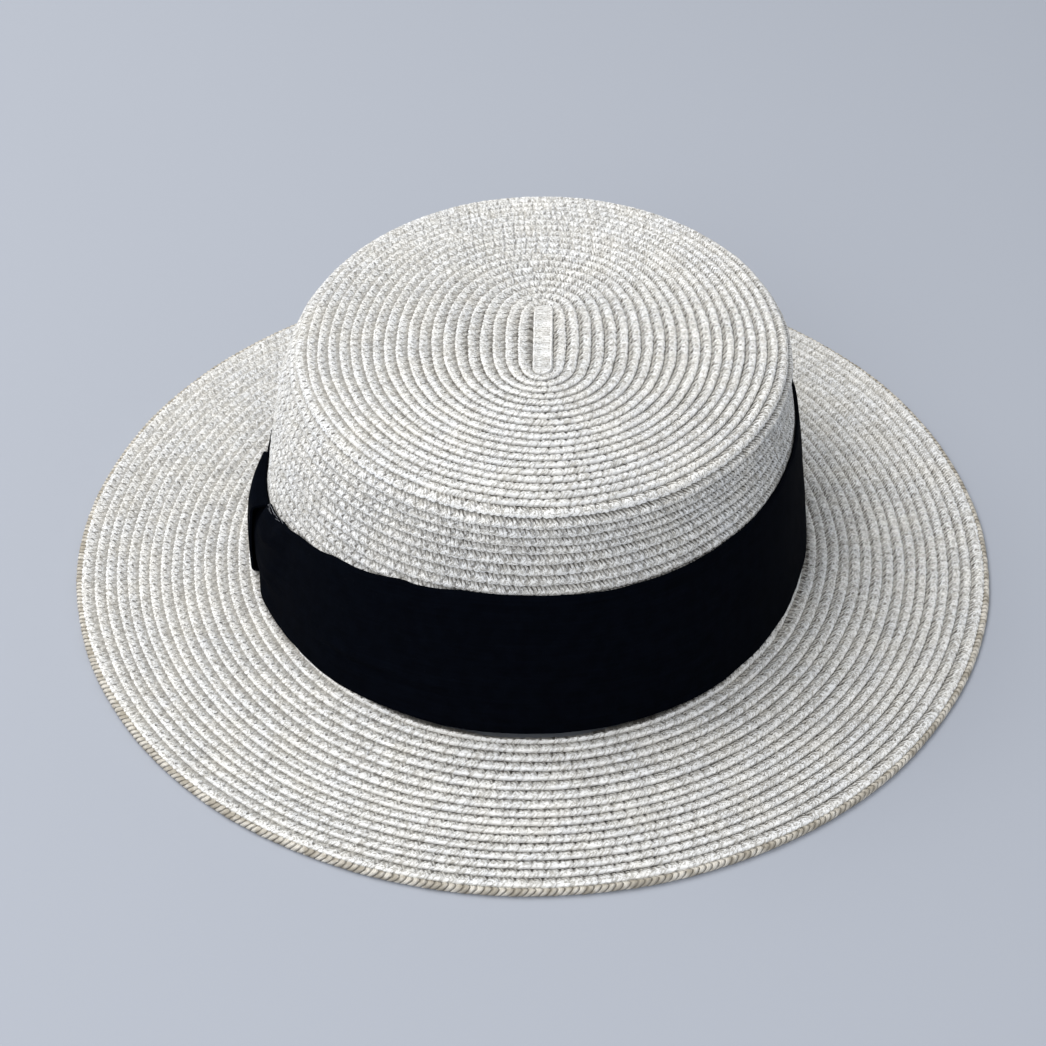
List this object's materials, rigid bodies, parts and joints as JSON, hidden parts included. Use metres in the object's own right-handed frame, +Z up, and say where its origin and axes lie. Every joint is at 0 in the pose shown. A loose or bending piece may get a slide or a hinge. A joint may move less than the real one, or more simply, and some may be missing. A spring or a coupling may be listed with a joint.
{
  "type": "straw boater hat",
  "caption": "Flat-topped oval straw hat of sewn pale braid with a stiff level brim, and a black cloth band gathered in a keeper at the side.",
  "frame": {"origin": "middle of the brim's underside, on the surface the hat lies on", "axes": "+Z up through the crown; +Y along the hat's long axis, away from the picture's viewer; +X to the viewer's right, with the band's keeper on the -X side"},
  "size_m": [0.285, 0.321, 0.0725],
  "materials": {
    "straw": "matte ivory paper-straw braid, sewn in overlapping rows",
    "band_cloth": "matte black cotton cloth with a fine weave"
  },
  "bodies": {
    "root": {"crown": "straw", "brim": "straw", "hat_band": "band_cloth", "band_keeper": "band_cloth"}
  },
  "joints": []
}
